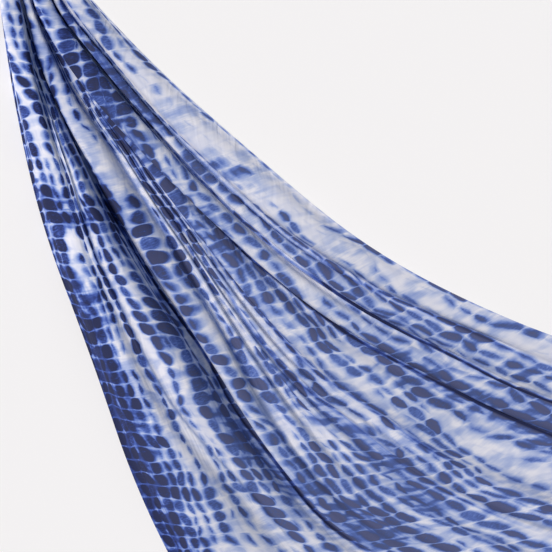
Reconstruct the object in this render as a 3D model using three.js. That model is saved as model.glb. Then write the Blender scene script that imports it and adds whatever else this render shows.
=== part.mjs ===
// A cut length of printed cotton lawn, drawn together at one end and lying in fanned folds.
// Millimetres, +Z up. The cloth lies on the plane z = 0 and the origin is under its middle.
import * as THREE from 'three';

// Driving dimensions.
const LENGTH = 1000;        // cut length, along the folds
const WIDTH = 560;          // cut width, across the folds
const THICKNESS = 1.2;      // solid sheet
const PRESSED = 0.35;       // depth by which a valley is pressed flat on the surface
const ROW_COUNT = 33;       // facets along the cloth
const ROW_GROWTH = 0.28;    // how much longer the facets grow away from the gather

// The two long edges: their heading in degrees, clockwise from +X, at each distance along the cloth.
const EDGES = [
  { along: 0, left: 87, right: 58 },
  { along: 40, left: 83, right: 48 },
  { along: 200, left: 78, right: 41.5 },
  { along: 360, left: 69, right: 40 },
  { along: 520, left: 71.5, right: 27.5 },
  { along: 680, left: 62, right: 19.5 },
  { along: 760, left: 47, right: 18.5 },
  { along: 860, left: 34, right: 17 },
  { along: 1000, left: 26, right: 16 },
];
const TURN_TO_RIGHT = 1.6;  // above 1, the lines between the edges follow the right edge more closely
const GATHER_LEFT = { x: -3, y: 32 };
const GATHER_RIGHT = { x: 81, y: 28 };

// Folds from left to right: facets over the round part, share of each half that lies flat beside
// its valley, how broad the crest is, and how far the fold leans over as a share of its height
// (negative to the left).
const FOLDS = [
  { name: 'broad outer fold', facets: 7, foot: 0.03, peak: 2.0, lean: 0 },
  { name: 'falling side', facets: 5, foot: 0.05, peak: 1.4, lean: 0.4 },
  { name: 'wide face', facets: 7, foot: 0.06, peak: 2.0, lean: -0.35 },
  { name: 'first small fold', facets: 4, foot: 0.22, peak: 1.0, lean: -0.1 },
  { name: 'second small fold', facets: 4, foot: 0.22, peak: 1.0, lean: -0.1 },
  { name: 'third small fold', facets: 4, foot: 0.22, peak: 1.0, lean: -0.1 },
  { name: 'middle face', facets: 7, foot: 0.05, peak: 1.7, lean: -0.3 },
  { name: 'long ridge', facets: 7, foot: 0.04, peak: 1.9, lean: -0.4 },
  { name: 'narrow ridge', facets: 5, foot: 0.06, peak: 1.5, lean: -0.3 },
  { name: 'right edge fold', facets: 7, foot: 0.04, peak: 2.0, lean: -0.35 },
];
const LEAN_FADE = { along: [0, 110, 300, 700, 1000], share: [0.2, 0.8, 0.9, 0.6, 0.4] };

// Valleys between neighbouring folds, left to right, as shares of the width: `lie` across the
// gathered cloth and `cut` across the flat cloth. `held` is the share of the cut width that the
// modelled folds hold; finer puckers take up the rest. `raised` is the height of the first valley;
// the others lie on the surface.
const SECTIONS = [
  { along: 0, held: 0.30, raised: 0,
    lie: [0.262, 0.290, 0.385, 0.395, 0.405, 0.415, 0.428, 0.610, 0.690],
    cut: [0.284, 0.292, 0.424, 0.427, 0.430, 0.433, 0.437, 0.700, 0.815] },
  { along: 45, held: 0.36, raised: 0,
    lie: [0.265, 0.293, 0.385, 0.396, 0.407, 0.418, 0.432, 0.620, 0.705],
    cut: [0.286, 0.295, 0.431, 0.434, 0.437, 0.440, 0.445, 0.705, 0.820] },
  { along: 110, held: 0.45, raised: 10,
    lie: [0.228, 0.262, 0.425, 0.441, 0.457, 0.473, 0.495, 0.690, 0.765],
    cut: [0.235, 0.285, 0.445, 0.451, 0.457, 0.463, 0.473, 0.740, 0.863] },
  { along: 225, held: 0.58, raised: 28,
    lie: [0.215, 0.300, 0.488, 0.514, 0.540, 0.567, 0.612, 0.735, 0.790],
    cut: [0.180, 0.300, 0.462, 0.486, 0.510, 0.535, 0.585, 0.780, 0.855] },
  { along: 336, held: 0.70, raised: 30,
    lie: [0.170, 0.321, 0.487, 0.512, 0.538, 0.570, 0.670, 0.758, 0.820],
    cut: [0.155, 0.325, 0.460, 0.490, 0.522, 0.558, 0.655, 0.785, 0.857] },
  { along: 480, held: 0.84, raised: 27,
    lie: [0.180, 0.349, 0.450, 0.497, 0.523, 0.571, 0.722, 0.808, 0.885],
    cut: [0.165, 0.340, 0.438, 0.487, 0.530, 0.580, 0.718, 0.822, 0.902] },
  { along: 650, held: 0.92, raised: 18,
    lie: [0.252, 0.341, 0.410, 0.482, 0.551, 0.608, 0.775, 0.855, 0.930],
    cut: [0.246, 0.341, 0.414, 0.485, 0.553, 0.611, 0.772, 0.858, 0.934] },
  { along: 1000, held: 0.98, raised: 0,
    lie: [0.270, 0.355, 0.430, 0.500, 0.570, 0.630, 0.785, 0.865, 0.930],
    cut: [0.268, 0.354, 0.429, 0.499, 0.569, 0.629, 0.785, 0.865, 0.930] },
];

// How finely the curves are summed.
const FAN_LINES = 60;
const HEADING_STEP = 5;
const STEPS_PER_FACET = 12;
const RATIO_SAMPLES = 120;
const STEEPEST = 2.2;       // radians
const BISECTIONS = 30;

// Smooth curve through (xs, ys) that never overshoots its points.
function smooth(xs, ys, x) {
  const last = xs.length - 1;
  const rise = (i) => (ys[i + 1] - ys[i]) / (xs[i + 1] - xs[i]);
  const slope = (i) => {
    if (i === 0) return rise(0);
    if (i === last) return rise(last - 1);
    const before = rise(i - 1);
    const after = rise(i);
    return before * after <= 0 ? 0 : (2 * before * after) / (before + after);
  };
  let i = 0;
  while (i < last - 1 && x >= xs[i + 1]) i += 1;
  const span = xs[i + 1] - xs[i];
  const u = (x - xs[i]) / span;
  const u2 = u * u;
  const u3 = u2 * u;
  return (2 * u3 - 3 * u2 + 1) * ys[i] + (u3 - 2 * u2 + u) * span * slope(i)
    + (3 * u2 - 2 * u3) * ys[i + 1] + (u3 - u2) * span * slope(i + 1);
}

// Straight lines through (xs, ys).
function straight(xs, ys, x) {
  const last = xs.length - 1;
  let i = 0;
  while (i < last - 1 && x >= xs[i + 1]) i += 1;
  return ys[i] + ((ys[i + 1] - ys[i]) * (x - xs[i])) / (xs[i + 1] - xs[i]);
}

// Lines that fan out from the gather, each with its own heading between those of the two edges.
// Returns where they are `along` the cloth, and each line's distance across from the left edge.
function fanAt(along) {
  const alongs = EDGES.map((row) => row.along);
  const lefts = EDGES.map((row) => row.left);
  const rights = EDGES.map((row) => row.right);
  const steps = Math.ceil(along / HEADING_STEP) + 1;
  const lines = [];
  for (let k = 0; k <= FAN_LINES; k += 1) {
    const a = k / FAN_LINES;
    const turned = 1 - (1 - a) ** TURN_TO_RIGHT;
    const headingAt = (s) => THREE.MathUtils.degToRad(
      THREE.MathUtils.lerp(straight(alongs, lefts, s), straight(alongs, rights, s), turned),
    );
    let x = THREE.MathUtils.lerp(GATHER_LEFT.x, GATHER_RIGHT.x, a);
    let y = THREE.MathUtils.lerp(GATHER_LEFT.y, GATHER_RIGHT.y, a);
    for (let n = 0; n < steps; n += 1) {
      const heading = headingAt(((n + 0.5) / steps) * along);
      x += (Math.cos(heading) * along) / steps;
      y -= (Math.sin(heading) * along) / steps;
    }
    lines.push({ x, y, heading: headingAt(along), across: 0 });
  }
  for (let k = 1; k <= FAN_LINES; k += 1) {
    const before = lines[k - 1];
    const line = lines[k];
    const heading = (before.heading + line.heading) / 2;
    const step = (line.x - before.x) * Math.sin(heading) + (line.y - before.y) * Math.cos(heading);
    line.across = before.across + Math.abs(step);
  }
  return lines;
}

// The point of the fan at a distance across; past an edge it goes straight out from that edge.
function fanPoint(lines, across) {
  const first = lines[0];
  const last = lines[lines.length - 1];
  const inside = THREE.MathUtils.clamp(across, 0, last.across);
  let k = 1;
  while (k < lines.length - 1 && inside > lines[k].across) k += 1;
  const share = (inside - lines[k - 1].across) / (lines[k].across - lines[k - 1].across);
  const beyond = across - inside;
  const heading = beyond < 0 ? first.heading : last.heading;
  return {
    x: THREE.MathUtils.lerp(lines[k - 1].x, lines[k].x, share) + beyond * Math.sin(heading),
    y: THREE.MathUtils.lerp(lines[k - 1].y, lines[k].y, share) + beyond * Math.cos(heading),
  };
}

// A fold rises on one side, turns over at its crest and falls on the other side, like a meander.
// `x` runs from -1 to 1 across the fold; the result is the share of the steepest angle.
function meander(x, fold) {
  const reach = Math.min(Math.abs(x) / (1 - fold.foot), 1);
  return -Math.sign(x) * Math.sin(Math.PI * reach ** fold.peak);
}

// The steepest angle with which a fold of some cut width lies within `ratio` of that width.
function steepness(ratio, fold) {
  const lieShare = (angle) => {
    let sum = 0;
    for (let n = 0; n < RATIO_SAMPLES; n += 1) {
      sum += Math.cos(angle * meander((n + 0.5) / RATIO_SAMPLES, fold));
    }
    return sum / RATIO_SAMPLES;
  };
  let low = 0;
  let high = STEEPEST;
  for (let n = 0; n < BISECTIONS; n += 1) {
    const middle = (low + high) / 2;
    if (lieShare(middle) > ratio) low = middle;
    else high = middle;
  }
  return low;
}

// Facet borders across one fold, from -1 to 1: its flat feet are one facet each.
function facetEnds(fold) {
  const ends = [];
  for (let n = 0; n <= fold.facets; n += 1) ends.push((1 - fold.foot) * ((2 * n) / fold.facets - 1));
  return [...ends, 1];
}

// One fold's section, leant over: distance across and height at each facet border, from the fold's
// left valley. `rise` is how much higher its right valley is than its left one.
function foldSection(fold, cutWidth, lieWidth, rise, leanShare) {
  const angle = steepness(Math.min(1, Math.hypot(lieWidth, rise) / cutWidth), fold);
  const points = [];
  let across = 0;
  let height = 0;
  let x = -1;
  for (const end of facetEnds(fold)) {
    const step = (end - x) / STEPS_PER_FACET;
    for (let n = 0; n < STEPS_PER_FACET; n += 1) {
      const turn = angle * meander(x + (n + 0.5) * step, fold);
      across += (Math.cos(turn) * step * cutWidth) / 2;
      height += (Math.sin(turn) * step * cutWidth) / 2;
    }
    x = end;
    points.push({ across, height });
  }
  return points.map((point) => {
    const share = point.across / across;
    const leaning = fold.lean * leanShare * point.height;
    return { across: share * lieWidth + leaning, height: point.height + share * rise };
  });
}

// The cloth's middle surface across one row.
function rowPoints(along) {
  const alongs = SECTIONS.map((row) => row.along);
  const valleys = (key) => {
    const inner = SECTIONS[0][key].map((_, i) => smooth(alongs, SECTIONS.map((row) => row[key][i]), along));
    return [0, ...inner, 1];
  };
  const lie = valleys('lie');
  const cut = valleys('cut');
  const held = smooth(alongs, SECTIONS.map((row) => row.held), along);
  const raised = smooth(alongs, SECTIONS.map((row) => row.raised), along);
  const floor = FOLDS.map((_, i) => (i === 1 ? raised : 0)).concat(0);
  const leanShare = smooth(LEAN_FADE.along, LEAN_FADE.share, along);
  const lines = fanAt(along);
  const gathered = lines[lines.length - 1].across;
  const lift = THICKNESS / 2 - PRESSED;
  const row = [];
  const add = (across, height) => {
    const place = fanPoint(lines, across);
    row.push(new THREE.Vector3(place.x, place.y, height + lift));
  };
  add(0, 0);
  FOLDS.forEach((fold, i) => {
    const start = lie[i] * gathered;
    const lieWidth = lie[i + 1] * gathered - start;
    const cutWidth = (cut[i + 1] - cut[i]) * WIDTH * held;
    const points = foldSection(fold, cutWidth, lieWidth, floor[i + 1] - floor[i], leanShare);
    const rounds = i < FOLDS.length - 1 ? points.slice(0, -1) : points;
    rounds.forEach((point) => add(start + point.across, floor[i] + point.height));
  });
  return row;
}

// Direction out of the cloth's upper side at each grid point, averaged over the facets around it.
function gridNormals(grid) {
  const rows = grid.length;
  const columns = grid[0].length;
  return grid.map((row, j) => row.map((_, k) => {
    const normal = new THREE.Vector3();
    for (const [dj, dk] of [[-1, -1], [-1, 0], [0, -1], [0, 0]]) {
      const j0 = j + dj;
      const k0 = k + dk;
      if (j0 >= 0 && k0 >= 0 && j0 < rows - 1 && k0 < columns - 1) {
        const across = new THREE.Vector3().subVectors(grid[j0][k0 + 1], grid[j0 + 1][k0]);
        const down = new THREE.Vector3().subVectors(grid[j0 + 1][k0 + 1], grid[j0][k0]);
        normal.add(down.cross(across).normalize());
      }
    }
    return normal.normalize();
  }));
}

// A closed sheet of even thickness around the grid, pressed flat where it meets the plane z = 0.
function sheetGeometry(grid) {
  const rows = grid.length;
  const columns = grid[0].length;
  const normals = gridNormals(grid);
  const positions = [];
  for (const side of [1, -1]) {
    grid.forEach((row, j) => row.forEach((point, k) => {
      const shifted = point.clone().addScaledVector(normals[j][k], (side * THICKNESS) / 2);
      positions.push(shifted.x, shifted.y, Math.max(shifted.z, 0));
    }));
  }
  const upper = (j, k) => j * columns + k;
  const lower = (j, k) => rows * columns + upper(j, k);
  const indices = [];
  const quad = (a, b, c, d) => indices.push(a, b, c, a, c, d);
  for (let j = 0; j < rows - 1; j += 1) {
    for (let k = 0; k < columns - 1; k += 1) {
      quad(upper(j, k), upper(j + 1, k), upper(j + 1, k + 1), upper(j, k + 1));
      quad(lower(j, k), lower(j, k + 1), lower(j + 1, k + 1), lower(j + 1, k));
    }
    quad(upper(j, 0), lower(j, 0), lower(j + 1, 0), upper(j + 1, 0));
    quad(upper(j + 1, columns - 1), lower(j + 1, columns - 1), lower(j, columns - 1), upper(j, columns - 1));
  }
  for (let k = 0; k < columns - 1; k += 1) {
    quad(upper(0, k + 1), lower(0, k + 1), lower(0, k), upper(0, k));
    quad(upper(rows - 1, k), lower(rows - 1, k), lower(rows - 1, k + 1), upper(rows - 1, k + 1));
  }
  const geometry = new THREE.BufferGeometry();
  geometry.setAttribute('position', new THREE.Float32BufferAttribute(positions, 3));
  geometry.setIndex(indices);
  return geometry;
}

// The one piece: the cut length of cloth.
function makeCloth() {
  const grid = [];
  for (let n = 0; n <= ROW_COUNT; n += 1) {
    const u = n / ROW_COUNT;
    grid.push(rowPoints(LENGTH * ((1 - ROW_GROWTH) * u + ROW_GROWTH * u * u)));
  }
  const geometry = sheetGeometry(grid);
  geometry.computeBoundingBox();
  const middle = geometry.boundingBox.getCenter(new THREE.Vector3());
  geometry.translate(-middle.x, -middle.y, 0);
  const material = new THREE.MeshStandardMaterial({ color: 0x6f83b4, roughness: 0.9, metalness: 0 });
  const mesh = new THREE.Mesh(geometry, material);
  mesh.name = 'cloth';
  return mesh;
}

const fabric = new THREE.Group();
fabric.name = 'printed_fabric';
fabric.add(makeCloth());

export default fabric;
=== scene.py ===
"""A cut length of blue and white tie-dyed cotton lawn, drawn together at one end, lying in fanned folds."""
import math

import bpy
import numpy as np
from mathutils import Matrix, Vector


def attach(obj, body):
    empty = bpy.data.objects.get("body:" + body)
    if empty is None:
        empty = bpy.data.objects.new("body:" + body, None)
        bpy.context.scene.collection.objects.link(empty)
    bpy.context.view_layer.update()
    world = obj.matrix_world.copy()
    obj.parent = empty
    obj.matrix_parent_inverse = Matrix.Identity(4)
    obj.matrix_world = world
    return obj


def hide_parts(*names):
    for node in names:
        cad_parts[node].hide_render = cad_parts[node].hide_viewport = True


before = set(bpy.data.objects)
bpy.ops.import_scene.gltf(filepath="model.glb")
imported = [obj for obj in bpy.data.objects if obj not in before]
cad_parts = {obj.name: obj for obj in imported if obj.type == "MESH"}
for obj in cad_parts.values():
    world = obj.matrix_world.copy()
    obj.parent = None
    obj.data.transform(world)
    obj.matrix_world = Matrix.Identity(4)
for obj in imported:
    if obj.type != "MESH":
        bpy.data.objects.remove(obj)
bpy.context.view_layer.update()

# ---------------------------------------------------------------- sizes, in millimetres
MM = 0.001
LENGTH = 1000.0             # cut length, along the folds
WIDTH = 560.0               # cut width, across the folds
LIFT = 0.35                 # the lowest that the middle of the cloth lies above the surface
ROWS = 236                  # mesh steps along the cloth
COLUMN_STEP = 2.1           # about this much cloth to a mesh step across it
ROW_GROWTH = 0.28           # how much longer the steps grow away from the gather

# The two long edges: heading in degrees, clockwise from +X, at each distance along the cloth.
EDGES = np.array([
    # along  left  right
    (0, 87, 58),
    (40, 83, 48),
    (200, 78, 41.5),
    (360, 69, 40),
    (520, 71.5, 27.5),
    (680, 62, 19.5),
    (760, 47, 18.5),
    (860, 34, 17),
    (1000, 26, 16),
], float)
TURN_TO_RIGHT = 1.6         # above 1, the lines between follow the right edge more closely
GATHER_LEFT = np.array([-3.0, 32.0])        # where the two edges start, on the plan
GATHER_RIGHT = np.array([81.0, 28.0])

# Folds from left to right: share of each half that lies flat beside its valley, how broad the
# crest is, and how far the fold leans over as a share of its height (negative to the left).
FOLDS = [
    # foot  peak  lean
    (0.03, 2.0, 0.0),       # broad outer fold
    (0.05, 1.4, 0.4),       # its falling side
    (0.06, 2.0, -0.35),     # wide face
    (0.22, 1.0, -0.1),      # three small folds
    (0.22, 1.0, -0.1),
    (0.22, 1.0, -0.1),
    (0.05, 1.7, -0.3),      # middle face
    (0.04, 1.9, -0.4),      # long ridge
    (0.06, 1.5, -0.3),      # narrow ridge
    (0.04, 2.0, -0.35),     # right edge fold
]
LEAN_FADE = np.array([(0, 0.2), (110, 0.8), (300, 0.9), (700, 0.6), (1000, 0.4)], float)

# Valleys between the folds as shares of the width: where they lie across the gathered cloth, and
# where they are in the flat cut. `held` is the share of the cut width that the folds hold.
SECTION_ALONG = np.array([0, 45, 110, 225, 336, 480, 650, 1000], float)
HELD = np.array([0.30, 0.36, 0.45, 0.58, 0.70, 0.84, 0.92, 0.98])
RAISED = np.array([0, 0, 10, 28, 30, 27, 18, 0], float)      # first valley, above the surface
LIE = np.array([
    (0.262, 0.290, 0.385, 0.395, 0.405, 0.415, 0.428, 0.610, 0.690),
    (0.265, 0.293, 0.385, 0.396, 0.407, 0.418, 0.432, 0.620, 0.705),
    (0.228, 0.262, 0.425, 0.441, 0.457, 0.473, 0.495, 0.690, 0.765),
    (0.215, 0.300, 0.488, 0.514, 0.540, 0.567, 0.612, 0.735, 0.790),
    (0.170, 0.321, 0.487, 0.512, 0.538, 0.570, 0.670, 0.758, 0.820),
    (0.180, 0.349, 0.450, 0.497, 0.523, 0.571, 0.722, 0.808, 0.885),
    (0.252, 0.341, 0.410, 0.482, 0.551, 0.608, 0.775, 0.855, 0.930),
    (0.270, 0.355, 0.430, 0.500, 0.570, 0.630, 0.785, 0.865, 0.930),
])
CUT = np.array([
    (0.284, 0.292, 0.424, 0.427, 0.430, 0.433, 0.437, 0.700, 0.815),
    (0.286, 0.295, 0.431, 0.434, 0.437, 0.440, 0.445, 0.705, 0.820),
    (0.235, 0.285, 0.445, 0.451, 0.457, 0.463, 0.473, 0.740, 0.863),
    (0.180, 0.300, 0.462, 0.486, 0.510, 0.535, 0.585, 0.780, 0.855),
    (0.155, 0.325, 0.460, 0.490, 0.522, 0.558, 0.655, 0.785, 0.857),
    (0.165, 0.340, 0.438, 0.487, 0.530, 0.580, 0.718, 0.822, 0.902),
    (0.246, 0.341, 0.414, 0.485, 0.553, 0.611, 0.772, 0.858, 0.934),
    (0.268, 0.354, 0.429, 0.499, 0.569, 0.629, 0.785, 0.865, 0.930),
])

# How finely the curves are summed.
FAN_LINES = 80
HEADING_STEP = 4.0
SUBSTEPS = 6
STEEPEST = 2.2              # radians
STEEPNESS_TRIALS = 240
RATIO_SAMPLES = 200
FEWEST_COLUMNS = 8          # mesh steps across a fold

# The print's rows lie nearly level across the laid cloth, whichever way its folds run, so they slant
# in the cut.
ROW_PITCH = 15.0            # between pale bound lines, measured along the folds
ROW_DROP = 14.3             # and measured straight down the plan
DROP_SHARE = 0.6            # how far the rows keep to the plan rather than to the folds

# Creases that run with the folds: which valley they follow (0 is the first), how far to its right,
# where they start and end along the cloth, how wide they are, how high the ridge on their left
# stands and how deep the trough is.
CREASES = [
    # valley aside start end width ridge trough
    (0, 0, 150, 720, 5, 1.0, 0.8),
    (0, -22, 260, 560, 5, 0.3, 0.2),
    (0, 14, 180, 470, 5, 0.4, 0.3),
    (0, -40, 60, 330, 6, 0.4, 0.2),
    (1, 0, 60, 800, 3.5, 1.6, 3.5),
    (1, 12, 60, 420, 5, 0.6, 0.3),
    (1, -12, 240, 620, 5, 0.4, 0.3),
    (1, 27, 380, 800, 6, 0.5, 0.2),
    (2, -5, 120, 520, 4, 0.8, 2.0),
    (2, -20, 480, 860, 6, 0.5, 0.3),
    (3, 4, 200, 640, 5, 0.5, 0.6),
    (4, 3, 260, 860, 3.5, 0.8, 2.2),
    (5, 6, 260, 760, 3.5, 0.8, 2.6),
    (5, 20, 380, 620, 6, 0.4, 0.2),
    (6, -16, 160, 420, 5, 0.5, 0.2),
    (6, 0, 60, 900, 3.2, 2.0, 6.0),
    (6, 30, 520, 900, 6, 0.5, 0.3),
    (7, 0, 60, 480, 3.5, 1.2, 2.6),
    (7, 0, 410, 960, 3.2, 1.6, 5.5),
    (7, -13, 300, 700, 5, 0.4, 0.3),
    (8, 0, 30, 700, 4, 1.0, 2.0),
    (8, 14, 60, 420, 5, 0.4, 0.2),
]
CREASE_FADE = 70.0          # over which a crease starts or ends
CREASE_SWAY = 3.0
CREASE_STRENGTH = 0.8       # of a crease, on average, and how far that drifts along it
STRENGTH_DRIFT = 0.35
STRENGTH_SEED = 100         # added to a crease's number
DRIFT_KNOTS = 14
TROUGH_BANKS = 2.4          # how far the cloth swells beside a trough, as a share of its width
BESIDE_TROUGH = 0.75        # and how high, as a share of its depth
CREASE_SHADE_WIDTH = 1.7           # of the line of painted shade down a trough
FULL_SHADE_DEPTH = 6.0          # the depth at which it closes altogether
CREASE_SHADE_DARK = 0.9            # how dark the painted shade makes the cloth down a closed trough

# ---------------------------------------------------------------- the folded cloth
def smooth(xs, ys, x):
    """Curve through (xs, ys) that never overshoots its points. ys may hold several columns."""
    xs, ys = np.asarray(xs, float), np.asarray(ys, float)
    steps = np.diff(xs).reshape(-1, *[1] * (ys.ndim - 1))
    rise = np.diff(ys, axis=0) / steps
    slope = np.concatenate([rise[:1], np.zeros_like(rise[1:]), rise[-1:]])
    before, after = rise[:-1], rise[1:]
    same = before * after > 0
    slope[1:-1] = np.where(same, 2 * before * after / np.where(same, before + after, 1), 0)
    i = int(np.clip(np.searchsorted(xs, x, side="right") - 1, 0, len(xs) - 2))
    span = xs[i + 1] - xs[i]
    u = (x - xs[i]) / span
    return ((2 * u**3 - 3 * u**2 + 1) * ys[i] + (u**3 - 2 * u**2 + u) * span * slope[i]
            + (3 * u**2 - 2 * u**3) * ys[i + 1] + (u**3 - u**2) * span * slope[i + 1])


def fan_at(along):
    """Lines that fan out from the gather: their points, headings and distances across."""
    a = np.linspace(0, 1, FAN_LINES + 1)
    turned = 1 - (1 - a) ** TURN_TO_RIGHT

    def headings(s):
        left = np.interp(s, EDGES[:, 0], EDGES[:, 1])
        right = np.interp(s, EDGES[:, 0], EDGES[:, 2])
        return np.radians(left + (right - left) * turned)

    steps = math.ceil(along / HEADING_STEP) + 1
    points = GATHER_LEFT + (GATHER_RIGHT - GATHER_LEFT) * a[:, None]
    for n in range(steps):
        heading = headings((n + 0.5) / steps * along)
        points = points + np.stack([np.cos(heading), -np.sin(heading)], 1) * along / steps
    heading = headings(along)
    middle = (heading[1:] + heading[:-1]) / 2
    step = np.diff(points, axis=0)
    across = np.abs(step[:, 0] * np.sin(middle) + step[:, 1] * np.cos(middle))
    return points, heading, np.concatenate([[0], np.cumsum(across)])


def meander(x, fold):
    """Share of the steepest angle across a fold, x from -1 to 1."""
    foot, peak, _ = fold
    reach = np.minimum(np.abs(x) / (1 - foot), 1)
    return -np.sign(x) * np.sin(np.pi * reach**peak)


def steepness(ratio, fold):
    """The steepest angle with which a fold lies within `ratio` of its cut width."""
    angles = np.linspace(0, STEEPEST, STEEPNESS_TRIALS)
    x = (np.arange(RATIO_SAMPLES) + 0.5) / RATIO_SAMPLES
    lie_share = np.cos(angles[:, None] * meander(x, fold)[None]).mean(1)
    return float(np.interp(-ratio, -lie_share, angles))


def print_spread(count, held):
    """Share of a fold's cut width at each mesh step.

    Crests show the flat cloth as it is. What the fold doesn't hold is taken up near its valleys.
    """
    x = np.linspace(-1, 1, count + 1)
    spare = 5 * (1 / held - 1)
    spread = x + spare * x**5 / 5
    return ((spread - spread[0]) / (spread[-1] - spread[0]))[1:]


def fold_columns():
    """How many mesh steps each fold gets, from its widest stretch of cut."""
    edges = np.concatenate([np.zeros((len(CUT), 1)), CUT, np.ones((len(CUT), 1))], 1)
    widest = np.diff(edges, axis=1).max(0) * WIDTH
    return [int(max(FEWEST_COLUMNS, round(w / COLUMN_STEP))) for w in widest]


def row_places(lines, along):
    """Where the fan lines at this distance come in the print's rows, counted from the gather."""
    return DROP_SHARE * -lines[:, 1] / ROW_DROP + (1 - DROP_SHARE) * along / ROW_PITCH


def drifting(alongs, seed):
    """A smooth curve within 1 of 0 that changes every 80 mm or so along the cloth."""
    knots = np.random.default_rng(seed).uniform(-1, 1, DRIFT_KNOTS)
    places = np.linspace(0, LENGTH, DRIFT_KNOTS)
    return np.array([float(smooth(places, knots, along)) for along in alongs])


def crease_heights(runs, valley_runs, alongs):
    """How far the creases push the cloth out along its normals, and how much shade is painted down their
    troughs.
    """
    heights, painted_crease_shades = np.zeros(runs.shape), np.zeros(runs.shape)
    for number, (valley, aside, start, end, width, ridge, trough) in enumerate(CREASES):
        middle = valley_runs[:, valley] + aside + CREASE_SWAY * drifting(alongs, number)
        strength = CREASE_STRENGTH + STRENGTH_DRIFT * drifting(alongs, STRENGTH_SEED + number)
        fade = np.clip(np.minimum(alongs - start, end - alongs) / CREASE_FADE, 0, 1)
        strength = (strength * fade * fade * (3 - 2 * fade))[:, None]
        off = runs - middle[:, None]
        u = off / width
        cleft = BESIDE_TROUGH * np.exp(-((u / TROUGH_BANKS) ** 2)) - np.exp(-u * u)
        shape = -u * np.exp(0.5 - u * u / 2) * ridge + cleft * trough
        heights += shape * strength
        # painted shade along each trough, darker the deeper the trough
        painted_crease_shades += np.exp(-(off / CREASE_SHADE_WIDTH) ** 2) * strength * trough / FULL_SHADE_DEPTH
    return heights, np.clip(painted_crease_shades, 0, 1)


def fold_section(fold, columns, lie_width, held_width, drop):
    """A fold's section from its left valley: distances across and heights at each mesh step."""
    angle = steepness(min(1, math.hypot(lie_width, drop) / held_width), fold)
    n = columns * SUBSTEPS
    turn = angle * meander(-1 + (2 * np.arange(n) + 1) / n, fold)
    w = np.cumsum(np.cos(turn))[SUBSTEPS - 1::SUBSTEPS] * held_width / n
    z = np.cumsum(np.sin(turn))[SUBSTEPS - 1::SUBSTEPS] * held_width / n
    z -= z[-1] * np.linspace(0, 1, len(z))
    return w * (lie_width / w[-1]), z


def section_at(along, counts, reach):
    """The cloth's whole section: distance across, height, flat distance across and run of cloth."""
    lie = np.concatenate([[0], smooth(SECTION_ALONG, LIE, along), [1]])
    cut = np.concatenate([[0], smooth(SECTION_ALONG, CUT, along), [1]])
    held = float(smooth(SECTION_ALONG, HELD, along))
    floor = [0.0, float(smooth(SECTION_ALONG, RAISED, along))] + [0.0] * (len(FOLDS) - 1)
    lean_share = float(smooth(LEAN_FADE[:, 0], LEAN_FADE[:, 1], along))
    across, height, flat, run = [np.zeros(1)], [np.zeros(1)], [np.zeros(1)], [np.zeros(1)]
    for i, fold in enumerate(FOLDS):
        lie_width = (lie[i + 1] - lie[i]) * reach
        cut_width = (cut[i + 1] - cut[i]) * WIDTH
        drop = floor[i + 1] - floor[i]
        w, z = fold_section(fold, counts[i], lie_width, cut_width * held, drop)
        across.append(lie[i] * reach + w + fold[2] * lean_share * z)
        height.append(z + (floor[i] + drop * w / lie_width))
        flat.append(cut[i] * WIDTH + cut_width * print_spread(counts[i], held))
        run.append((cut[i] * WIDTH + cut_width * np.arange(1, counts[i] + 1) / counts[i]) * held)
    valley_run = cut[1:-1] * WIDTH * held
    return [np.concatenate(part) for part in (across, height, flat, run)] + [valley_run]


def on_plan(across, lines, heading, reach):
    """Where the points of a section lie on the plan, those that lean out past the edges too."""
    inside = np.clip(across, 0, reach[-1])
    beyond = across - inside
    out = np.where(beyond < 0, heading[0], heading[-1])
    x = np.interp(inside, reach, lines[:, 0]) + beyond * np.sin(out)
    y = np.interp(inside, reach, lines[:, 1]) + beyond * np.cos(out)
    return x, y


def cloth_grid():
    """Middle surface of the cloth, row by row.

    Returns points, flat coordinates (across, along), the print's rows, runs of cloth and the painted crease
    shade.
    """
    u = np.arange(ROWS + 1) / ROWS
    alongs = LENGTH * ((1 - ROW_GROWTH) * u + ROW_GROWTH * u * u)
    counts = fold_columns()
    fan_shares = np.linspace(0, WIDTH, FAN_LINES + 1)
    points, flats, print_rows, runs, valley_runs = [], [], [], [], []
    for along in alongs:
        lines, heading, reach = fan_at(along)
        across, height, flat, run, valley_run = section_at(along, counts, reach[-1])
        x, y = on_plan(across, lines, heading, reach)
        points.append(np.stack([x, y, height + LIFT], 1))
        flats.append(np.stack([flat, np.full(len(x), along)], 1))
        print_rows.append(np.interp(flat, fan_shares, row_places(lines, along)))
        runs.append(run)
        valley_runs.append(valley_run)
    points, flats, runs = np.array(points), np.array(flats), np.array(runs)
    heights, painted_crease_shades = crease_heights(runs, np.array(valley_runs), alongs)
    points += normals_of(points) * heights[..., None]
    points[..., 2] = np.maximum(points[..., 2], LIFT)
    return points, flats, np.array(print_rows), runs, painted_crease_shades


def normals_of(points):
    """Upward unit normals of a grid of points."""
    along = np.gradient(points, axis=0)
    across = np.gradient(points, axis=1)
    normal = np.cross(along, across)
    normal /= np.maximum(np.linalg.norm(normal, axis=2, keepdims=True), 1e-9)
    return normal


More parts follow.
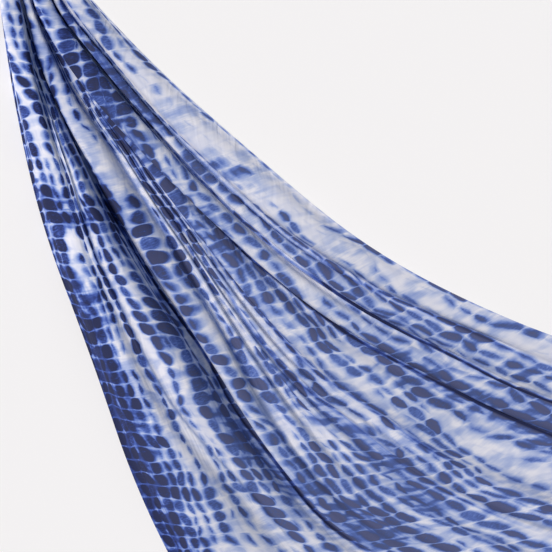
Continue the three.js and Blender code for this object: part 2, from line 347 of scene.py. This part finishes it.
def make_sheet(name, points, flats, layers):
    """A single-surface mesh with the flat coordinates as the UV map 'cut', in metres."""
    rows, columns = points.shape[:2]
    index = np.arange(rows * columns).reshape(rows, columns)
    quads = np.stack([index[:-1, :-1], index[1:, :-1], index[1:, 1:], index[:-1, 1:]], -1).reshape(-1, 4)
    mesh = bpy.data.meshes.new(name)
    mesh.from_pydata(points.reshape(-1, 3).tolist(), [], quads.tolist())
    mesh.update()
    corner = np.zeros(len(mesh.loops), np.int32)
    mesh.loops.foreach_get("vertex_index", corner)
    flat = flats.reshape(-1, 2)
    cut_map = mesh.uv_layers.new(name="cut")
    cut_map.data.foreach_set("uv", (flat[corner] * MM).astype(np.float32).ravel())
    bake_map = mesh.uv_layers.new(name="OFBake")
    bake_map.data.foreach_set("uv", (flat[corner] / (WIDTH, LENGTH)).astype(np.float32).ravel())
    for key, values in layers.items():
        layer = mesh.attributes.new(key, "FLOAT", "POINT")
        layer.data.foreach_set("value", values.astype(np.float32).ravel())
    mesh.polygons.foreach_set("use_smooth", np.ones(len(mesh.polygons), bool))
    piece = bpy.data.objects.new(name, mesh)
    bpy.context.scene.collection.objects.link(piece)
    return piece


# ---------------------------------------------------------------- the dyed cloth's material
CHAIN_PITCH = 13.5          # between the columns of spots
CHAIN_SWAY = 34.0           # of the columns, from side to side
SLOW_SLIP = 1.3             # of the rows, as a share of their pitch
QUICK_SLIP = 0.22
BLEED = 2.6                 # how far a spot's sides wander
FRAY = 0.8                  # and how ragged its rim is
USUAL_ROW = 14.5            # rows further apart than this have slimmer spots
MOST_WASH = 0.62            # dye between the spots

# Noises over the flat cut: how wide and tall their bumps are, in millimetres, how many finer layers
# they carry and how strong those are, and how many bumps aside they are taken.
NOISES = {
    # name: wide tall detail roughness aside
    "sway": (85, 120, 1, 0.5, 0.0),
    "slow slip": (90, 90, 1, 0.5, 34.0),
    "quick slip": (19, 33, 0, 0.5, 0.0),
    "bleed": (12, 8, 1, 0.5, 0.0),
    "fray": (3.6, 2.4, 1, 0.5, 0.0),
    "large": (75, 190, 0, 0.5, 21.0),
    "patch": (80, 65, 2, 0.5, 0.0),
    "soft": (34, 30, 1, 0.5, 11.0),
    "cloud": (20, 15, 1, 0.5, 0.0),
    "fine bands": (17, 2.2, 2, 0.6, 0.0),
    "streaks": (3.2, 75, 1, 0.5, 0.0),
    "mottle": (5.5, 1.6, 2, 0.6, 5.0),
}

# Broad patches of the print in the flat cut, one of them partly painted shade: middle, reach, and how much
# more or less dye they hold.
PLAIN_DYE = 0.38
ZONES = np.array([
    # across along reach_across reach_along amount
    (15, 540, 34, 200, 0.7),        # dark left edge
    (35, 375, 20, 30, 0.3),
    (0, 160, 12, 120, 0.5),
    (25, 230, 20, 60, 0.25),
    (98, 50, 32, 42, -0.55),        # the gather, paler at its left and right
    (195, 50, 40, 35, -0.35),
    (515, 65, 40, 40, -0.5),
    (50, 270, 28, 26, 0.2),
    (65, 225, 34, 30, -0.25),       # pale outer fold
    (97, 232, 14, 40, -0.5),
    (72, 335, 22, 30, -0.4),
    (60, 470, 18, 40, -0.35),
    (86, 405, 20, 30, -0.3),
    (135, 437, 18, 24, 0.3),
    (100, 545, 34, 90, -0.35),
    (115, 692, 28, 40, -0.55),
    (130, 285, 90, 18, 0.3),        # dark row across the outer fold
    (150, 530, 18, 50, 0.4),
    (204, 253, 12, 32, 0.7),
    (195, 285, 24, 30, 0.35),       # large dark spots down the shaded flank
    (175, 412, 22, 26, 0.4),
    (179, 466, 20, 24, -0.7),
    (213, 425, 16, 40, -0.6),
    (170, 575, 24, 50, 0.4),
    (200, 645, 34, 30, 0.4),
    (223, 562, 14, 40, -0.35),
    (220, 715, 34, 40, 0.5),
    (235, 755, 26, 24, 0.3),
    (216, 200, 28, 50, -0.55),      # white face under the gather
    (235, 255, 28, 50, -0.65),
    (284, 190, 20, 34, 0.55),
    (305, 225, 18, 26, 0.4),
    (356, 170, 20, 60, 0.4),        # large spots from the gather down
    (372, 235, 20, 36, 0.4),
    (350, 350, 26, 50, 0.35),
    (285, 450, 30, 80, -0.2),
    (317, 430, 14, 34, -0.6),
    (356, 478, 14, 44, -0.5),
    (292, 565, 20, 60, 0.35),
    (332, 585, 16, 70, -0.5),
    (310, 665, 22, 60, 0.4),
    (289, 745, 20, 40, 0.4),
    (455, 118, 14, 40, 0.6),        # dark right of the gather
    (466, 182, 22, 40, 0.7),
    (394, 330, 12, 40, 0.25),
    (410, 285, 10, 24, -0.3),
    (421, 447, 10, 35, 0.4),
    (442, 390, 32, 110, -0.6),      # pale above the long crease
    (440, 660, 20, 130, 0.45),      # dark band along the long crease, partly print and partly painted shade of the crease
    (425, 785, 20, 40, 0.3),
    (485, 612, 18, 40, -0.4),
    (456, 725, 12, 70, 0.3),
    (510, 690, 26, 30, 0.25),
    (403, 605, 12, 40, 0.25),
    (394, 700, 18, 60, -0.4),
    (466, 635, 12, 60, -0.3),
    (520, 260, 42, 125, -0.75),     # white on the right face
    (511, 285, 8, 52, 0.85),
    (529, 480, 16, 30, 0.45),
    (550, 110, 20, 50, 0.15),
    (505, 590, 26, 70, 0.2),
    (541, 540, 20, 300, -0.75),
    (560, 560, 8, 280, 0.45),       # spots at the right edge
], float)
# Where the spots are large and stand in every other column only, and (below 0) where they don't.
LARGE_ZONES = np.array([
    # across along reach_across reach_along amount
    (365, 130, 45, 130, 1.0),       # down from the gather
    (515, 330, 30, 110, 0.5),       # on the right face
    (150, 700, 50, 100, 0.8),       # lower left
    (20, 520, 40, 260, -1.0),       # not beside the left edge
    (205, 450, 40, 80, 0.6),
    (440, 640, 40, 120, -0.5),
    (72, 290, 50, 110, 0.8),        # on the outer fold
], float)
SHEEN_FROM = 330.0           # where painted sheen starts to grey the dark dye: sum of the distance along and most of the distance across
SHEEN_OVER = 420.0

# Relief that is too fine for the mesh, in millimetres.
PUCKER = 0.35
PUCKER_TAKEN_UP = 0.6
CREPE = 0.1
SLUB = 0.03


def zoned(flats, plain, zones):
    """A value over the flat cut: plain, and more or less in each zone."""
    value = np.full(flats.shape[:2], plain)
    for across, along, reach_across, reach_along, more in zones:
        far = ((flats[..., 0] - across) / reach_across) ** 2 + ((flats[..., 1] - along) / reach_along) ** 2
        value += more * np.exp(-far**1.5)
    return value


def painted_sheen_share(flats):
    """How far a painted sheen greys the dark print: not at the gather and the left edge, more to the right
    and far end.
    """
    across, along = flats[..., 0], flats[..., 1]
    far = np.clip((along + 0.9 * across - SHEEN_FROM) / SHEEN_OVER, 0, 1)
    inside = np.clip((across - 20) / 90, 0, 1)
    return far * far * (3 - 2 * far) * (0.05 + 0.95 * inside)


class Nodes:
    """Adds nodes and links to one tree. Arguments are numbers or sockets."""

    def __init__(self, tree):
        self.tree = tree

    def put(self, socket, value):
        if isinstance(value, bpy.types.NodeSocket):
            self.tree.links.new(value, socket)
        else:
            socket.default_value = value

    def math(self, operation, *values, clamp=False):
        node = self.tree.nodes.new("ShaderNodeMath")
        node.operation = operation
        node.use_clamp = clamp
        for socket, value in zip(node.inputs, values):
            self.put(socket, value)
        return node.outputs[0]

    def add(self, a, b):
        return self.math("ADD", a, b)

    def sub(self, a, b):
        return self.math("SUBTRACT", a, b)

    def mul(self, a, b):
        return self.math("MULTIPLY", a, b)

    def div(self, a, b):
        return self.math("DIVIDE", a, b)

    def most(self, a, b):
        return self.math("MAXIMUM", a, b)

    def least(self, a, b):
        return self.math("MINIMUM", a, b)

    def ramp(self, x, low, high, start=0.0, end=1.0, kind="SMOOTHSTEP"):
        node = self.tree.nodes.new("ShaderNodeMapRange")
        node.interpolation_type = kind
        keys = ("Value", "From Min", "From Max", "To Min", "To Max")
        for key, value in zip(keys, (x, low, high, start, end)):
            self.put(node.inputs[key], value)
        return node.outputs["Result"]

    def vector(self, x, y):
        node = self.tree.nodes.new("ShaderNodeCombineXYZ")
        self.put(node.inputs[0], x)
        self.put(node.inputs[1], y)
        return node.outputs[0]

    def noise(self, x, y, detail=0.0, roughness=0.5):
        """Smooth noise about 0.5, one bump to about each unit of x and y."""
        node = self.tree.nodes.new("ShaderNodeTexNoise")
        node.noise_dimensions = "2D"
        self.put(node.inputs["Vector"], self.vector(x, y))
        node.inputs["Scale"].default_value = 1.0
        node.inputs["Detail"].default_value = detail
        node.inputs["Roughness"].default_value = roughness
        return node.outputs["Fac"]

    def chance(self, x, y):
        """A number from 0 to 1, unlike at each x and y."""
        node = self.tree.nodes.new("ShaderNodeTexWhiteNoise")
        node.noise_dimensions = "2D"
        self.put(node.inputs["Vector"], self.vector(x, y))
        return node.outputs["Value"]

    def layer(self, name):
        node = self.tree.nodes.new("ShaderNodeAttribute")
        node.attribute_name = name
        return node.outputs["Fac"]

    def colours(self, x, stops):
        node = self.tree.nodes.new("ShaderNodeValToRGB")
        self.put(node.inputs[0], x)
        elements = node.color_ramp.elements
        while len(elements) < len(stops):
            elements.new(0.5)
        for element, (place, colour) in zip(elements, stops):
            element.position = place
            element.color = (*linear(colour), 1)
        return node.outputs[0]


def linear(colour):
    """An sRGB hex colour as linear numbers."""
    channels = [int(colour[i:i + 2], 16) / 255 for i in (1, 3, 5)]
    return [c / 12.92 if c <= 0.04045 else ((c + 0.055) / 1.055) ** 2.4 for c in channels]


def cut_place(n):
    """Where a point is in the flat cut: millimetres across and along."""
    uv = n.tree.nodes.new("ShaderNodeUVMap")
    uv.uv_map = "cut"
    apart = n.tree.nodes.new("ShaderNodeSeparateXYZ")
    n.put(apart.inputs[0], uv.outputs[0])
    return n.mul(apart.outputs[0], 1 / MM), n.mul(apart.outputs[1], 1 / MM)


class Print:
    """The print at a point of the flat cut: rows of spots that stand in columns. In millimetres."""

    def __init__(self, n):
        self.n = n
        self.across, self.along = cut_place(n)
        self.dense = n.layer("dye_and_painted_shade")
        self.find_row()
        self.find_column()
        self.set_tones()

    def noise(self, name):
        wide, tall, detail, roughness, aside = NOISES[name]
        x = self.n.add(self.n.div(self.across, wide), aside)
        return self.n.noise(x, self.n.div(self.along, tall), detail, roughness)

    def spread(self, name, low, high):
        """Noise stretched so that low..high fills 0..1."""
        return self.n.ramp(self.noise(name), low, high, kind="LINEAR")

    def about_zero(self, name, size):
        return self.n.mul(self.n.sub(self.noise(name), 0.5), size)

    def find_row(self):
        n = self.n
        slip = n.add(self.about_zero("slow slip", SLOW_SLIP), self.about_zero("quick slip", QUICK_SLIP))
        row_step = n.layer("row_step")
        self.row_place = n.add(n.layer("row"), slip)
        self.row = n.math("FLOOR", self.row_place)
        self.in_row = n.mul(n.sub(n.sub(self.row_place, self.row), 0.5), row_step)
        self.off_row = n.math("ABSOLUTE", self.in_row)
        self.half_row = n.mul(row_step, 0.5)
        self.slimmer = n.math("POWER", n.div(USUAL_ROW, row_step), 0.6)

    def find_column(self):
        n = self.n
        self.chain_place = n.div(n.add(self.across, self.about_zero("sway", CHAIN_SWAY)), CHAIN_PITCH)
        self.chain = n.math("FLOOR", self.chain_place)
        self.bleed = self.about_zero("bleed", BLEED)
        self.fray = self.about_zero("fray", FRAY)
        self.large = n.ramp(n.add(n.layer("large"), self.spread("large", 0.4, 0.62)), 0, 1)

    def set_tones(self):
        n = self.n
        soft = self.spread("soft", 0.36, 0.66)
        self.patch = self.spread("patch", 0.36, 0.66)
        self.cloud = n.ramp(self.noise("cloud"), 0.3, 0.7)
        self.mottle = n.sub(self.noise("mottle"), 0.5)
        self.halo_tone = n.add(0.13, n.mul(n.add(self.patch, self.cloud), 0.15))
        self.rim_out = n.add(-2.2, n.mul(soft, -3.2))
        self.rim_in = n.add(1.0, n.mul(soft, 1.8))
        self.core_in = n.add(1.5, n.mul(soft, 1.5))

    def spot_growth(self, chain):
        """How large a column's spot in this row has grown, 0 to 1."""
        n = self.n
        odd = n.mul(n.math("FRACT", n.mul(chain, 0.5)), 2)
        swell = n.noise(n.mul(chain, 7.31), n.mul(self.row, 0.19), 1, 0.6)
        swell = n.ramp(swell, 0.3, 0.7, kind="LINEAR")
        luck = n.chance(chain, self.row)
        size = n.add(n.add(n.mul(swell, 0.85), self.dense), n.mul(luck, 0.34))
        size = n.sub(size, n.mul(self.large, n.sub(n.mul(odd, 0.75), 0.15)))
        size = n.add(size, n.mul(n.sub(n.chance(chain, 3), 0.5), 0.3))
        return n.ramp(size, 0.4, 1.6, kind="LINEAR")

    def off_middle(self, chain):
        """How far the point is to the right of a column's wandering, slanting middle."""
        n = self.n
        slant = n.sub(n.chance(n.add(chain, 40), n.add(self.row, 17)), 0.5)
        wander = n.sub(n.noise(n.mul(chain, 5.17), n.mul(self.row_place, 0.16)), 0.5)
        middle = n.add(n.add(chain, 0.5), n.mul(wander, 0.9))
        x = n.mul(n.sub(self.chain_place, middle), CHAIN_PITCH)
        return n.add(n.add(x, n.mul(n.mul(self.in_row, slant), 0.5)), self.bleed)

    def spot_depth(self, chain, grown):
        """How far inside a column's spot the point is, below 0 outside it."""
        n = self.n
        x = self.off_middle(chain)
        skew = n.sub(n.chance(n.add(chain, 71), n.add(self.row, 5)), 0.5)
        widest = n.add(5.8, n.mul(self.large, 5.4))
        half_width = n.add(0.9, n.mul(n.math("POWER", grown, 1.2), widest))
        half_width = n.mul(half_width, self.slimmer)
        half_height = n.mul(self.half_row, n.ramp(grown, 0.1, 0.7, 0.62, 1.04))
        up = n.least(n.div(self.off_row, half_height), 1)
        narrowing = n.math("POWER", up, n.add(1.5, n.mul(grown, 1.4)))
        lopsided = n.add(1, n.mul(n.mul(n.math("SIGN", x), skew), 0.6))
        rounding = n.math("POWER", n.sub(1, n.mul(narrowing, 0.97)), 0.7)
        reach = n.mul(n.mul(half_width, lopsided), rounding)
        depth = n.mul(n.sub(reach, n.math("ABSOLUTE", x)), 0.85)
        depth = n.least(depth, n.mul(n.sub(half_height, self.off_row), 0.9))
        depth = n.sub(depth, n.ramp(grown, 0, 0.2, 4, 0))
        return n.add(depth, self.fray)

    def spot_tone(self, chain, grown, depth):
        """Dye in a spot: a faint halo, the body inside its rim, and the mottled core."""
        n = self.n
        strength = n.ramp(n.chance(n.add(chain, 91), n.add(self.row, 3)), 0, 0.9, 0.52, 1.05)
        strength = n.mul(strength, n.ramp(grown, 0.1, 0.5, 0.75, 1))
        tone = n.mul(n.ramp(depth, -7.5, 0.5), self.halo_tone)
        tone = n.add(tone, n.mul(n.ramp(depth, self.rim_out, self.rim_in), 0.38))
        tone = n.add(tone, n.mul(n.ramp(depth, -1, self.core_in), n.add(0.38, self.mottle)))
        return n.mul(tone, strength)

    def spots(self):
        """The darkest of the three nearest spots, and the pale seam where two of them meet."""
        n = self.n
        depths, tones = [], []
        for beside in (-1.0, 0.0, 1.0):
            chain = n.add(self.chain, beside)
            grown = self.spot_growth(chain)
            depth = self.spot_depth(chain, grown)
            depths.append(depth)
            tones.append(self.spot_tone(chain, grown, depth))
        deeper = n.most(depths[0], depths[1])
        deepest = n.most(deeper, depths[2])
        second = n.most(n.least(depths[0], depths[1]), n.least(deeper, depths[2]))
        seam = n.mul(n.ramp(n.sub(deepest, second), 0, 1.3, 1, 0), n.ramp(second, -0.6, 0.8))
        return n.most(n.most(tones[0], tones[1]), tones[2]), seam

    def wash(self):
        """Dye that has run between the spots."""
        n = self.n
        row_share = n.div(self.off_row, self.half_row)
        streaks = self.spread("streaks", 0.3, 0.7)
        band = n.noise(n.div(self.across, 38), n.mul(self.row_place, 1.7), 1, 0.5)
        band = n.mul(n.ramp(band, 0.44, 0.68), n.ramp(row_share, 0.5, 0.95, 1, 0.4))
        wash = n.mul(band, n.ramp(self.dense, 0.3, 0.8, 0.06, 0.5))
        wash = n.add(wash, n.mul(n.mul(self.cloud, n.add(self.patch, 0.3)), 0.16))
        run_in = n.add(0.16, n.mul(n.add(self.cloud, streaks), 0.28))
        wash = n.add(wash, n.mul(n.ramp(self.dense, 0.45, 1.1), run_in))
        return n.least(wash, MOST_WASH)

    def dye_and_painted_shade(self):
        """How much the cloth is dyed, 0 to about 1, with the painted crease shade of one zone in it."""
        n = self.n
        spots, seam = self.spots()
        wash = self.wash()
        filled = n.ramp(self.dense, 0.55, 1.1)
        dye_and_painted_shade = n.add(n.most(wash, spots), n.mul(n.least(wash, spots), 0.35))
        dye_and_painted_shade = n.sub(dye_and_painted_shade, n.mul(seam, n.ramp(filled, 0, 1, 0.3, 0.14)))
        bound = n.ramp(n.sub(self.half_row, self.off_row), 0.1, 1.4, 1, 0)
        faint = n.add(0.1, n.mul(n.ramp(spots, 0.2, 0.7), n.ramp(filled, 0, 1, 0.45, 0.3)))
        dye_and_painted_shade = n.mul(dye_and_painted_shade, n.sub(1, n.mul(bound, faint)))
        fine_bands = n.sub(self.spread("fine bands", 0.35, 0.7), 0.5)
        return n.add(dye_and_painted_shade, n.mul(n.mul(fine_bands, self.patch), 0.07))


def fine_relief(n):
    """Bump for the fine puckers that run with the folds, and for the weave's slubs."""
    across, along = cut_place(n)
    sway = n.mul(n.sub(n.noise(n.div(across, 60), n.div(along, 60), 1), 0.5), 14)
    swayed = n.add(n.layer("run"), sway)
    puckers = n.noise(n.div(swayed, 5.5), n.div(along, 120), 1, 0.5)
    creped = n.noise(n.div(swayed, 2.2), n.div(along, 45), 1, 0.5)
    slubs = n.noise(n.div(across, 9), n.div(along, 0.7), 1, 0.6)
    taken_up = n.layer("taken_up")
    height = n.mul(puckers, n.add(PUCKER, n.mul(taken_up, PUCKER_TAKEN_UP)))
    height = n.add(height, n.mul(creped, n.add(CREPE, n.mul(taken_up, CREPE * 2))))
    height = n.add(height, n.mul(slubs, SLUB))
    bump = n.tree.nodes.new("ShaderNodeBump")
    n.put(bump.inputs["Height"], n.mul(height, MM))
    bump.inputs["Strength"].default_value = 1.0
    bump.inputs["Distance"].default_value = 1.0
    return bump.outputs[0]


# Dye from none to most: deep by the gather, and greyed by a painted sheen towards the right and far end.
DEEP_DYE = [
    (0.0, "#e1dfe6"), (0.16, "#abb6d8"), (0.34, "#748ac6"), (0.52, "#425ba8"),
    (0.7, "#2a3a78"), (0.86, "#1f2a5a"), (1.0, "#1e2448"),
]
SHEEN_GREYED_DYE = [
    (0.0, "#e1dfe6"), (0.16, "#b0bad8"), (0.34, "#8396cb"), (0.52, "#5970b2"),
    (0.7, "#4a5b92"), (0.86, "#4a5681"), (1.0, "#52577b"),
]


def lawn_material():
    """Matt dyed cotton, with shade painted down its closed creases and a painted sheen that greys its dark
    print towards the right and far end.
    """
    material = bpy.data.materials.new("tie_dyed_lawn")
    material.use_nodes = True
    n = Nodes(material.node_tree)
    shader = material.node_tree.nodes["Principled BSDF"]
    painted_crease_shade = n.layer("painted_crease_shade")
    # painted crease shade, added to the dye amount so that the colour ramps draw it as dark dye
    dye_and_painted_shade = n.add(Print(n).dye_and_painted_shade(), n.mul(painted_crease_shade, CREASE_SHADE_DARK))
    blend = material.node_tree.nodes.new("ShaderNodeMix")
    blend.data_type = "RGBA"
    # painted sheen mixes in the greyed copy of the dye colours, but not down the painted crease shade
    n.put(blend.inputs["Factor"], n.most(n.sub(n.layer("painted_sheen"), n.mul(painted_crease_shade, 2)), 0))
    n.put(blend.inputs[6], n.colours(dye_and_painted_shade, DEEP_DYE))
    n.put(blend.inputs[7], n.colours(dye_and_painted_shade, SHEEN_GREYED_DYE))
    n.put(shader.inputs["Base Color"], blend.outputs[2])
    n.put(shader.inputs["Normal"], fine_relief(n))
    shader.inputs["Roughness"].default_value = 0.8
    shader.inputs["Specular IOR Level"].default_value = 0.2
    shader.inputs["Sheen Weight"].default_value = 0.05
    shader.inputs["Sheen Roughness"].default_value = 0.5
    return material


# ---------------------------------------------------------------- scene
FRAME_SIDE = 607.2          # millimetres of surface that the view takes in
LENS = 135.0                # camera's lens and sensor, in millimetres
SENSOR = 36.0
FLOOR_SIDE = 30             # metres
LIGHTS = [
    # name towards colour strength angle
    ("key", (0.7, -0.41, -0.57), (1.0, 0.965, 0.92), 4.25, 0.35),
    ("fill", (-0.72, -0.15, -0.68), (0.9, 0.94, 1.0), 0.3, 0.9),
]
WORLD_COLOUR = (0.5, 0.67, 1.0)
WORLD_STRENGTH = 0.19


def plain_material(name, colour, roughness):
    material = bpy.data.materials.new(name)
    material.use_nodes = True
    shader = material.node_tree.nodes["Principled BSDF"]
    shader.inputs["Base Color"].default_value = (*linear(colour), 1)
    shader.inputs["Roughness"].default_value = roughness
    return material


def add_floor():
    bpy.ops.mesh.primitive_plane_add(size=FLOOR_SIDE, location=(0, 0, 0))
    floor = bpy.context.object
    floor.name = "floor"
    floor.data.materials.append(plain_material("floor_paper", "#fbf8f5", 0.9))


def add_camera(middle):
    """Straight above the surface, taking in a square of it."""
    camera = bpy.data.objects.new("camera", bpy.data.cameras.new("camera"))
    bpy.context.scene.collection.objects.link(camera)
    camera.data.lens = LENS
    camera.data.sensor_width = SENSOR
    height = FRAME_SIDE * MM / 2 / (SENSOR / 2 / LENS)
    camera.location = (middle[0], middle[1], height)
    bpy.context.scene.camera = camera


def add_light(name, towards, colour, strength, angle):
    lamp = bpy.data.lights.new(name, "SUN")
    lamp.color = colour
    lamp.energy = strength
    lamp.angle = angle
    light = bpy.data.objects.new(name, lamp)
    light.rotation_euler = Vector(towards).to_track_quat("-Z", "Y").to_euler()
    bpy.context.scene.collection.objects.link(light)


def add_world():
    world = bpy.data.worlds.new("studio")
    world.use_nodes = True
    background = world.node_tree.nodes["Background"]
    background.inputs["Color"].default_value = (*WORLD_COLOUR, 1)
    background.inputs["Strength"].default_value = WORLD_STRENGTH
    bpy.context.scene.world = world


def print_layers(flats, print_rows, runs, painted_crease_shades):
    """What the material needs to know at each point of the cloth."""
    flat_steps = np.maximum(np.gradient(flats[..., 0], axis=1), 1e-3)
    return {
        "dye_and_painted_shade": zoned(flats, PLAIN_DYE, ZONES),
        "large": zoned(flats, 0.0, LARGE_ZONES),
        "painted_sheen": painted_sheen_share(flats),
        "row": print_rows,
        "row_step": np.gradient(flats[..., 1], axis=0) / np.gradient(print_rows, axis=0),
        "taken_up": np.clip(1 - np.gradient(runs, axis=1) / flat_steps, 0, 1),
        "run": runs,
        "painted_crease_shade": painted_crease_shades,
    }


points, flats, print_rows, runs, painted_crease_shades = cloth_grid()
layers = print_layers(flats, print_rows, runs, painted_crease_shades)
low, high = points.reshape(-1, 3).min(0), points.reshape(-1, 3).max(0)
shift = np.array([-(low[0] + high[0]) / 2, -(low[1] + high[1]) / 2, 0])
points = (points + shift) * MM
cloth = make_sheet("printed_lawn", points, flats, layers)
cloth.data.materials.append(lawn_material())
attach(cloth, "root")
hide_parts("cloth")

add_floor()
add_camera(((FRAME_SIDE / 2 + shift[0]) * MM, (-FRAME_SIDE / 2 + shift[1]) * MM))
for light in LIGHTS:
    add_light(*light)
add_world()
bpy.context.scene.view_settings.view_transform = "Standard"
